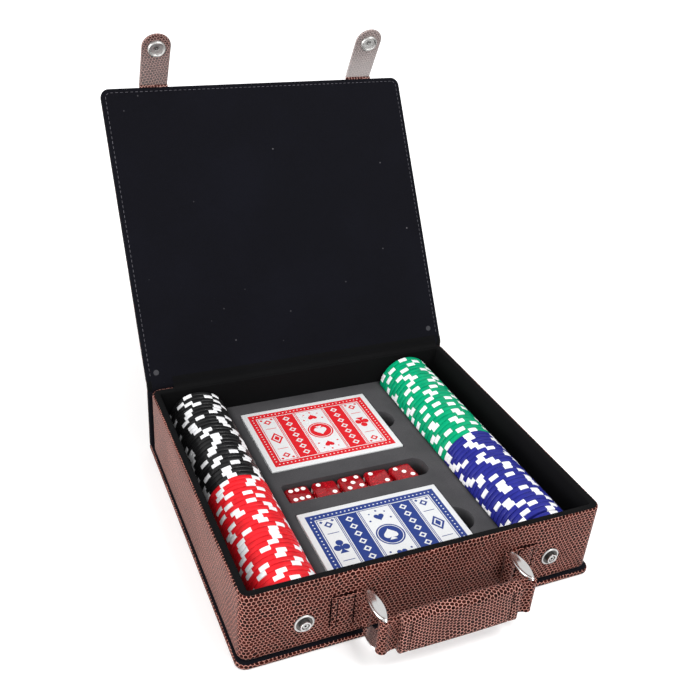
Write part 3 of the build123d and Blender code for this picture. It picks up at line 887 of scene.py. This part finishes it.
def box_print():
    """Ink and white shapes for the top of a card box, as (outline, is ink, layer)."""
    shapes = []

    def ink(outlines, layer=1):
        shapes.extend((outline, True, layer + 0.1 * k) for k, outline in enumerate(outlines))

    def blank(outlines, layer=2):
        shapes.extend((outline, False, layer + 0.1 * k) for k, outline in enumerate(outlines))

    # A border with small lozenges, and a thin line inside it
    ink(frame_of(42.0, 28.8, 4.4))
    for k in range(30):
        u = -38.6 + 77.2 * k / 29
        blank([lozenge(u, s * 26.6, 0.62, 0.62) for s in (-1, 1)])
    for k in range(1, 19):
        v = -26.4 + 52.8 * k / 19
        blank([lozenge(s * 39.8, v, 0.62, 0.62) for s in (-1, 1)])
    ink(frame_of(37.0, 23.8, 0.5))
    # Two bands of lozenges
    for middle in (-17.5, 17.5):
        ink([bar(middle - 6.0, middle + 6.0, -23.3, 23.3)])
        for gap in (-6.9, -7.8, 6.9, 7.8):
            ink([bar(middle + gap - 0.22, middle + gap + 0.22, -23.3, 23.3)])
        for k in range(7):
            blank([lozenge(middle, -19.2 + 6.4 * k, 2.6, 2.5)])
            ink([lozenge(middle, -19.2 + 6.4 * k, 1.3, 1.25)], 3)
    # A spade in a disc, with hearts above and below
    ink([disc(0, 0, 8.6, 48)])
    blank([disc(0, 0, 7.7, 48)])
    ink([disc(0, 0, 7.2, 48)], 3)
    blank(spade(0, 0.4, 4.6), 4)
    for s in (-1, 1):
        ink([heart(0, s * 15.6, 3.4, 1)])
        ink([disc(s * 6.6, s * 13.4, 0.7), disc(-s * 6.6, s * 13.4, 0.7), disc(0, s * 21.0, 0.7)])
        ink([disc(s * 5.0, s * 19.2, 0.55), disc(-s * 5.0, s * 19.2, 0.55)])
        for side in (-1, 1):
            ink([lozenge(side * 31.0, s * 18.6, 2.8, 2.8)])
            blank([lozenge(side * 31.0, s * 18.6, 1.3, 1.3)])
            ink([lozenge(side * 34.6, s * 21.6, 1.1, 1.1), lozenge(side * 27.4, s * 21.6, 1.1, 1.1)])
        ink([bar(s * 30.9 - 3.6, s * 30.9 + 3.6, t * 11.3 - 0.25, t * 11.3 + 0.25) for t in (-1, 1)])
    # A club and a lozenge at the two ends
    ink(club(-30.9, 0.4, 5.6))
    ink([lozenge(30.9, 0, 4.4, 6.2)])
    blank([lozenge(30.9, 0, 2.9, 4.2)])
    ink([lozenge(30.9, 0, 1.9, 2.8)], 3)
    return shapes


PRINT_LAYER = 0.02


def print_sheet(middle, top, ink, turn):
    verts, faces, index = [], [], []
    for outline, is_ink, layer in box_print():
        start = len(verts)
        for u, v in outline:
            a, b = u * cos(turn) - v * sin(turn), u * sin(turn) + v * cos(turn)
            verts.append((middle[0] + a, middle[1] + b, top + PRINT_LAYER * layer))
        faces.append(tuple(start + k for k in range(len(outline))))
        index.append(0 if is_ink else 1)
    return new_object("part", verts, faces, None, [ink, card_white], index, flat=True)


DECK_X = -6.0
DECK_HALF = (45.75, 32.5)
DECK_BOTTOM, DECK_TOP = 12.0, 29.0
SIDE_STRIPES = ((14.2, 15.2), (16.2, 24.8), (25.8, 26.8))
for colour, y, turn in (("red", 48.0, pi), ("blue", -59.0, 0.0)):
    low = (DECK_X - DECK_HALF[0], y - DECK_HALF[1], DECK_BOTTOM)
    high = (DECK_X + DECK_HALF[0], y + DECK_HALF[1], DECK_TOP)
    parts = [
        rounded_box("part", low, high, 0.6, [card_white]),
        print_sheet((DECK_X, y), DECK_TOP, card_inks[colour], turn),
    ]
    for s in (-1, 1):
        end_x = DECK_X + s * DECK_HALF[0]
        low, high = (end_x - 0.3, y - 29.0, 13.5), (end_x + 0.22, y + 29.0, 27.6)
        parts.append(rounded_box("part", low, high, 0.2, [card_white], 2))
    for s in (-1, 1):
        face_y = y + s * DECK_HALF[1]
        for z0, z1 in SIDE_STRIPES:
            low, high = (DECK_X - 41.4, face_y - 0.04, z0), (DECK_X + 41.4, face_y + 0.04, z1)
            parts.append(rounded_box("part", low, high, 0.02, [card_inks[colour]], 1))
    finish(joined(f"{colour}_deck_box", parts), f"{colour}_deck", f"{colour}_box", f"{colour}_card_box")

# Dice

PIPS = {
    1: [(0, 0)],
    2: [(-1, 1), (1, -1)],
    3: [(-1, -1), (0, 0), (1, 1)],
    4: [(-1, -1), (-1, 1), (1, -1), (1, 1)],
    5: [(-1, -1), (-1, 1), (1, -1), (1, 1), (0, 0)],
    6: [(-1, -1), (0, -1), (1, -1), (-1, 1), (0, 1), (1, 1)],
}
DIE_HALF = 8.0
DIE_Y, DIE_Z = -6.705, 18.5
DIE_BEND = 2.7
PIP_GAP, PIP_RADIUS, PIP_DEPTH = 4.1, 1.5, 0.9
# Across a pip: share of its radius, and of its depth
PIP_PROFILE = ((1.0, -0.03), (1.0, 0.02), (0.86, 0.5), (0.5, 0.86), (0.15, 0.99))


def pip(middle, normal, side):
    """A drilled, painted pip: a flat top just proud of the face and a round bottom."""
    across = normal.cross(side)
    rows = []
    for size, down in PIP_PROFILE:
        level = middle - normal * PIP_DEPTH * down
        rows.append([level + side * a + across * b for a, b in disc(0, 0, PIP_RADIUS * size)])
    return grid(rows, (True, True))


def die(number, x, turn, top, front, right, swap):
    """swap turns the slanting rows of two and three pips the other way."""
    cube = rounded_box("part", (-DIE_HALF,) * 3, (DIE_HALF,) * 3, DIE_BEND, [dice_red], 6)
    verts, faces = [], []
    up, ahead, side = Vector((0, 0, 1)), Vector((0, -1, 0)), Vector((1, 0, 0))
    for value, normal, across in (
        (top, up, side), (7 - top, -up, side), (front, ahead, side), (7 - front, -ahead, side),
        (right, side, up), (7 - right, -side, up),
    ):
        other = normal.cross(across)
        for a, b in PIPS[value]:
            if swap and value in (2, 3):
                a = -a
            v, f, _ = pip(normal * DIE_HALF + across * a * PIP_GAP + other * b * PIP_GAP, normal, across)
            start = len(verts)
            verts += v
            faces += [tuple(start + k for k in face) for face in f]
    pips = crisp(new_object("part", verts, faces, None, [pip_white]), 40)
    made = joined(f"die_{number}_body", [cube, pips])
    place = Matrix.Translation(Vector((x, DIE_Y, DIE_Z)) * MM)
    made.data.transform(place @ Matrix.Rotation(radians(turn), 4, "Z"))
    finish(made, f"dice_{number}", "dice", f"die_{number}")


die(1, -41.9, 2.0, 6, 5, 4, False)
die(2, -24.1, -4.0, 2, 3, 1, False)
die(3, -6.3, 3.0, 5, 4, 1, False)
die(4, 11.5, -3.0, 2, 1, 3, False)
die(5, 29.3, 4.0, 3, 2, 6, True)

# Studs, sockets and caps: profiles are (radius, height), and each ring has a number for its metal; the dark metal in
# hollows and grooves is painted shade

STUD_PROFILE = [
    (0.05, 1.3), (0.6, 1.3), (0.7, 2.3), (1.5, 2.35), (1.7, 2.1), (2.0, 2.15), (2.2, 2.85), (2.6, 3.1), (3.0, 2.95),
    (3.15, 2.5), (3.05, 1.2), (3.2, 0.6), (4.4, 0.55), (4.6, 0.8), (5.1, 0.95), (5.5, 0.8), (5.75, 0.35), (5.75, 0.0),
]
STUD_METALS = [1, 1, 2, 1, 1, 0, 0, 0, 0, 1, 1, 1, 1, 2, 0, 2, 1]
SOCKET_PROFILE = [
    (0.05, 1.7), (0.6, 1.7), (0.75, 1.45), (1.3, 1.4), (1.45, 1.65), (1.8, 1.7), (1.95, 1.4), (4.2, 1.5), (4.5, 2.1),
    (4.8, 2.75), (5.2, 3.0), (5.6, 2.85), (5.9, 2.3), (5.95, 1.6), (5.95, 0.8),
]
SOCKET_METALS = [0, 1, 1, 0, 0, 1, 0, 0, 0, 0, 0, 0, 0, 0]
CAP_PROFILE = [(0.05, 2.2), (1.5, 2.18), (3.2, 2.05), (4.8, 1.75), (5.6, 1.35), (5.95, 0.95), (6.0, 0.8), (5.6, 0.75)]
for side, x in TAB_MIDDLES.items():
    metals = [metal, shade_painted_metal, dull_metal]
    piece = lathe(f"{side}_snap_stud", STUD_PROFILE, wall_point, (x, STUD_HEIGHT), metals, index=STUD_METALS)
    finish(piece, "case", "nickel", f"{side}_stud")
    snap, metals = (x, SNAP_REACH), [dull_metal, shade_painted_metal]
    piece = lathe(f"{side}_snap_socket", SOCKET_PROFILE, inside_tab, snap, metals, index=SOCKET_METALS)
    finish(piece, f"tab_{side}", "nickel", f"{side}_socket")
    piece = lathe(f"{side}_snap_cap", CAP_PROFILE, tab_point, snap, [metal])
    finish(piece, f"tab_{side}", "nickel", f"{side}_cap")

# Tabs

TAB_EDGE = [(0.9, -0.8), (0.35, -0.72), (0.06, -0.4), (0.0, 0.0), (0.06, 0.4), (0.35, 0.72), (0.9, 0.8)]
TAB_ROOT_HALF, TAB_END_HALF, TAB_NOSE = 9.6, 9.7, 10.4


def tab_outline(x):
    """Long sides that widen to a round end, from the tail inside the lid."""
    radius, reach = lens_bend(TAB_END_HALF, TAB_NOSE)
    middle = SNAP_REACH + TAB_NOSE - radius
    widening = (TAB_END_HALF - TAB_ROOT_HALF) / SNAP_REACH
    side = [(TAB_ROOT_HALF + widening * max(v, 0.0), v) for v in (-0.7, 0.5, 2.0, 4.0, 8.0, 14.0, 20.0, 26.0)]
    points = [(x - u, v) for u, v in side]
    points += arc((x, middle), radius, 90 + reach, 90 - reach, 20)
    points += [(x + u, v) for u, v in reversed(side)]
    return points[::-1]


outward = tab_point(0, 0, 1) - tab_point(0, 0, 0)
for side, x in TAB_MIDDLES.items():
    rings = [(drawn_in(tab_outline(x), inset), h) for inset, h in TAB_EDGE]
    piece = plate(f"{side}_snap_tab", rings, tab_point, [tab_leathers[side], leather], caps=(True, True))
    for face in piece.data.polygons:
        if (face.center / MM - FOLD).dot(outward) > 0.1:
            face.material_index = 1
    finish(piece, f"tab_{side}", "cover_leather", f"{side}_tab")

# Wall loops, with their patches: (across, out from the wall) and half a thickness

LOOP_EDGES = [(0.18, -10.75), (0.036, -10.6), (0.0, -10.3), (0.0, 10.3), (0.036, 10.6), (0.18, 10.75)]
PATCH = [
    (19.2, 0.9, 0.5), (18.7, 0.9, 0.85), (18.0, 0.9, 0.95), (16.8, 0.9, 0.95), (16.3, 0.75, 0.55),
    (15.8, 0.9, 0.95), (12.0, 0.9, 0.95), (7.3, 0.9, 0.95), (6.8, 0.75, 0.66), (6.3, 0.55, 0.38),
    (5.8, 0.75, 0.7), (5.3, 0.95, 0.95), (4.9, 0.9, 0.9), (4.5, 0.8, 0.75), (4.2, 0.7, 0.6),
    (3.6, 0.95, 0.6), (2.9, 1.55, 0.6),
]
# Dark lines on the patch, partly stitches and partly painted shade in its grooves and along its edges: (across,
# height over the wall), and the two at top and bottom
UPRIGHT_SEAM_AND_SHADE_LINES = ((6.0, 1.1), (6.8, 1.3), (16.3, 1.35), (19.4, 0.5))
LEVEL_SEAM_AND_SHADE_ENDS = (5.6, 19.3)


def leather_loop(name, outline, place):
    """A bent strip of leather that stands on edge."""
    rings = [(drawn_in(outline, inset), h) for inset, h in LOOP_EDGES]
    return plate(name, rings, place, [leather], caps=(True, True), angle=50)


for side, x in LINK_MIDDLES.items():
    way = -1 if side == "left" else 1
    turned = [(a, b, 0.6) for a, b in arc((0.0, 3.1), 2.4, -15, 280, 30)]
    loop = PATCH + turned
    outline = band([(a, b) for a, b, _ in loop], [half for _, _, half in loop])
    outline = [(x + way * a, b) for a, b in outline]
    if way > 0:
        outline.reverse()
    piece = leather_loop(f"{side}_loop_on_wall", outline, on_wall_at_links)
    finish(piece, "case", "cover_leather", f"{side}_wall_loop")
    # Partly stitches, partly painted shade: near black threads in the patch's grooves and round its edges
    runs = [[on_wall_at_links(x + way * a, rise, h) for h in (-10.2, 10.2)] for a, rise in UPRIGHT_SEAM_AND_SHADE_LINES]
    runs += [[on_wall_at_links(x + way * a, 0.3, h) for a in LEVEL_SEAM_AND_SHADE_ENDS] for h in (-10.9, 10.9)]
    runs = [(run, Vector((0, -1, 0))) for run in runs]
    finish(stitches(f"{side}_loop_stitches_and_shade_lines", runs, 0.5, 2.6, 0.97, dark_thread_and_shade_line), "case", "cover_leather")

# Links: two lens shaped plates with a raised rim, joined by two bars

PLATE_HALF_LENGTH, PLATE_HALF_WIDTH = 12.7, 3.8
PLATE_EDGE = [
    (0.97, 0.0), (1.0, 0.12), (1.0, 0.55), (0.98, 0.85), (0.93, 1.08), (0.86, 1.18), (0.8, 1.16), (0.76, 1.08),
    (0.3, 1.08),
]
BAR_PROFILE = [(1.2, 12.0), (1.5, 12.2), (1.5, 34.8), (1.2, 35.0)]
radius, reach = lens_bend(PLATE_HALF_LENGTH, PLATE_HALF_WIDTH)
middle = (INNER_BAR + OUTER_BAR) / 2
curve = arc((radius - PLATE_HALF_WIDTH, 0.0), radius, 180 - reach, 180 + reach, 16)
curve = [(u, v) for u, v in curve if abs(v) < PLATE_HALF_LENGTH - 0.5]
for side, x in LINK_MIDDLES.items():
    outline = [(x + u, middle + v) for u, v in curve] + [(x - u, middle + v) for u, v in reversed(curve)]
    parts = []
    for level, way in ((12.25, -1), (34.75, 1)):
        rings = [
            ([(x + (u - x) * size, middle + (v - middle) * (size * 0.5 + 0.5)) for u, v in outline], level + way * h)
            for size, h in PLATE_EDGE
        ]
        parts.append(plate("part", rings, upright, [plate_metal], caps=(True, True), angle=40))
    parts += [lathe("part", BAR_PROFILE, upright, (x, y), [metal], 24) for y in (INNER_BAR, OUTER_BAR)]
    finish(joined(f"{side}_link_metal", parts), f"link_{side}", "nickel", f"{side}_link")

# Handle: the strap's two end loops, and the grip

STRAP_HALF = 0.58
path = [(33.0, -0.6), (6.5, -0.6), (4.6, -0.7), (3.0, -1.1)] + arc((0.0, 0.0), 2.4, -38, -322, 26)
path += [(3.0, 1.1), (4.6, 0.7), (6.5, 0.6), (33.0, 0.6)]
parts = []
for side, x in LINK_MIDDLES.items():
    way = 1 if side == "left" else -1
    outline = [(x + way * a, OUTER_BAR + b) for a, b in band(path, [STRAP_HALF] * len(path))]
    if way > 0:
        outline.reverse()
    parts.append(leather_loop("part", outline, at_links))
finish(joined("handle_strap_loops", parts), "handle", "cover_leather", "handle_strap")

GRIP_START, GRIP_LENGTH, GRIP_Y = -31.75, 71.0, -122.0
GRIP_HALF = (3.6, 12.75)
GRIP_BEND = 2.4
GRIP_SEAMS = (0.075, 0.925)
# Along the grip: share of its length, and fullness
GRIP_SHAPE = (
    (0.0, 0.9), (0.003, 0.96), (0.01, 1.0), (0.03, 1.0), (0.064, 1.0), (0.075, 0.92), (0.086, 1.0), (0.2, 1.03),
    (0.35, 1.05), (0.5, 1.06), (0.65, 1.05), (0.8, 1.03), (0.914, 1.0), (0.925, 0.92), (0.936, 1.0), (0.97, 1.0),
    (0.99, 1.0), (0.997, 0.96), (1.0, 0.9),
)


def grip_point(share, a, b):
    return Vector((GRIP_START + GRIP_LENGTH * share, GRIP_Y + a, LINK_HEIGHT + b))


rows = []
for share, size in GRIP_SHAPE:
    deep, high = GRIP_HALF[0] * size, GRIP_HALF[1] * (0.7 + 0.3 * size)
    rows.append([grip_point(share, a, b) for a, b in rounded(-deep, deep, -high, high, [GRIP_BEND] * 4)])
piece = crisp(new_object("padded_grip", *grid(rows, (True, True)), [leather_grip]), 50)
finish(piece, "handle", "cover_leather", "grip_cover", "grip_padding")
runs = []
for share in GRIP_SEAMS:
    for way, low, high in (
        ((0, -1, 0), (-3.4, -10.0), (-3.4, 10.0)), ((0, 1, 0), (3.4, -10.0), (3.4, 10.0)),
        ((0, 0, 1), (-1.4, 12.35), (1.4, 12.35)), ((0, 0, -1), (-1.4, -12.35), (1.4, -12.35)),
    ):
        runs.append(([grip_point(share, *low), grip_point(share, *high)], Vector(way)))
finish(stitches("grip_stitches", runs, 0.3, 2.5, 0.92, dark_thread_and_shade_line), "handle", "cover_leather")

# Nodes that stay

for name, material in {
    **{f"{panel}_board": board for panel in ("base", "spine", "lid")},
    **{f"tray_{part}_board": board for part in ("front", "back", "left", "right", "floor")},
    "foam_insert": foam, "stud_rivets": metal, "tab_tails": leather_tail, "red_cards": pages, "blue_cards": pages,
}.items():
    node = nodes[name]
    node.data.materials.clear()
    node.data.materials.append(material)

# Floor and background, lighter to the camera than to the object

FLOOR_DROP = 0.0001


def two_ways(tree, output, light, view):
    """Lights the object with one shader and shows the camera another."""
    seen = add(tree, "LightPath").outputs["Is Camera Ray"]
    choice = add(tree, "MixShader", {0: seen, 1: light.outputs[0], 2: view.outputs[0]})
    add(tree, output, {"Surface": choice.outputs[0]})


bpy.ops.mesh.primitive_plane_add(size=6.0, location=(0, 0, -FLOOR_DROP))
floor = bpy.context.object
floor.name = "floor"
material = bpy.data.materials.new("floor")
tree = cleared(material)
where = add(tree, "TexCoord").outputs["Object"]
tone = mix(tree, noise(tree, where, 3.0), (0.86, 0.86, 0.86, 1), (0.88, 0.88, 0.88, 1))
diffuse = add(tree, "BsdfDiffuse", {"Color": tone})
far = vectors(tree, "LENGTH", where, out=1)
glow = add(tree, "Emission", {"Color": (1, 1, 1, 1), "Strength": ramp(tree, far, 0.15, 1.0, 0.22, 0.5)})
both = add(tree, "AddShader", {0: diffuse.outputs[0], 1: glow.outputs[0]})
two_ways(tree, "OutputMaterial", diffuse, both)
floor.data.materials.append(material)

world = bpy.data.worlds.new("studio")
bpy.context.scene.world = world
tree = cleared(world)
height = axis_of(tree, add(tree, "TexCoord").outputs["Generated"], 2)
lit = add(tree, "Background", {"Color": (1, 1, 1, 1), "Strength": ramp(tree, height, 0.05, 0.7, 0.42, 0.78)})
plain = add(tree, "Background", {"Color": (1, 1, 1, 1), "Strength": 1.0})
two_ways(tree, "OutputWorld", lit, plain)

# Lamps in metres and watts

for name, place, aim, size, power in (
    ("key", (0.55, -0.45, 1.25), (0, 0, 0.05), 0.7, 11.5),
    ("fill", (-0.7, -1.1, 0.7), (0, 0, 0.05), 0.9, 7.5),
    ("side", (-1.5, 0.25, 0.45), (-0.1, 0, 0.02), 0.8, 17.0),
):
    data = bpy.data.lights.new(name, "AREA")
    data.shape = "DISK"
    data.size = size
    data.energy = power
    lamp = placed(name, data)
    lamp.location = place
    lamp.rotation_euler = (Vector(aim) - Vector(place)).to_track_quat("-Z", "Y").to_euler()

# Camera at the photo's viewing angle, fitted in a frame whose origin is at the tray's front edge

PICTURE = 700
SENSOR = 36.0
FOCAL = 879.138
PICTURE_MIDDLE = (323.096, 353.590)
CAMERA_TURN = Vector((2.0832158, -0.3745446, 0.2928491))
CAMERA_SHIFT = Vector((57.228965, 146.286080, 490.501528))
rotation = Matrix.Rotation(CAMERA_TURN.length, 3, CAMERA_TURN.normalized())
place = -(rotation.transposed() @ CAMERA_SHIFT) + Vector((0, FRONT_FACE, 0))
data = bpy.data.cameras.new("camera")
data.sensor_fit = "HORIZONTAL"
data.sensor_width = SENSOR
data.lens = FOCAL / PICTURE * SENSOR
data.shift_x = (PICTURE / 2 - PICTURE_MIDDLE[0]) / PICTURE
data.shift_y = (PICTURE_MIDDLE[1] - PICTURE / 2) / PICTURE
data.clip_start = 0.01
camera = placed("camera", data)
axes = Matrix((rotation[0], -rotation[1], -rotation[2])).transposed()
camera.matrix_world = Matrix.Translation(place * MM) @ axes.to_4x4()
bpy.context.scene.camera = camera
bpy.context.scene.view_settings.view_transform = "Standard"
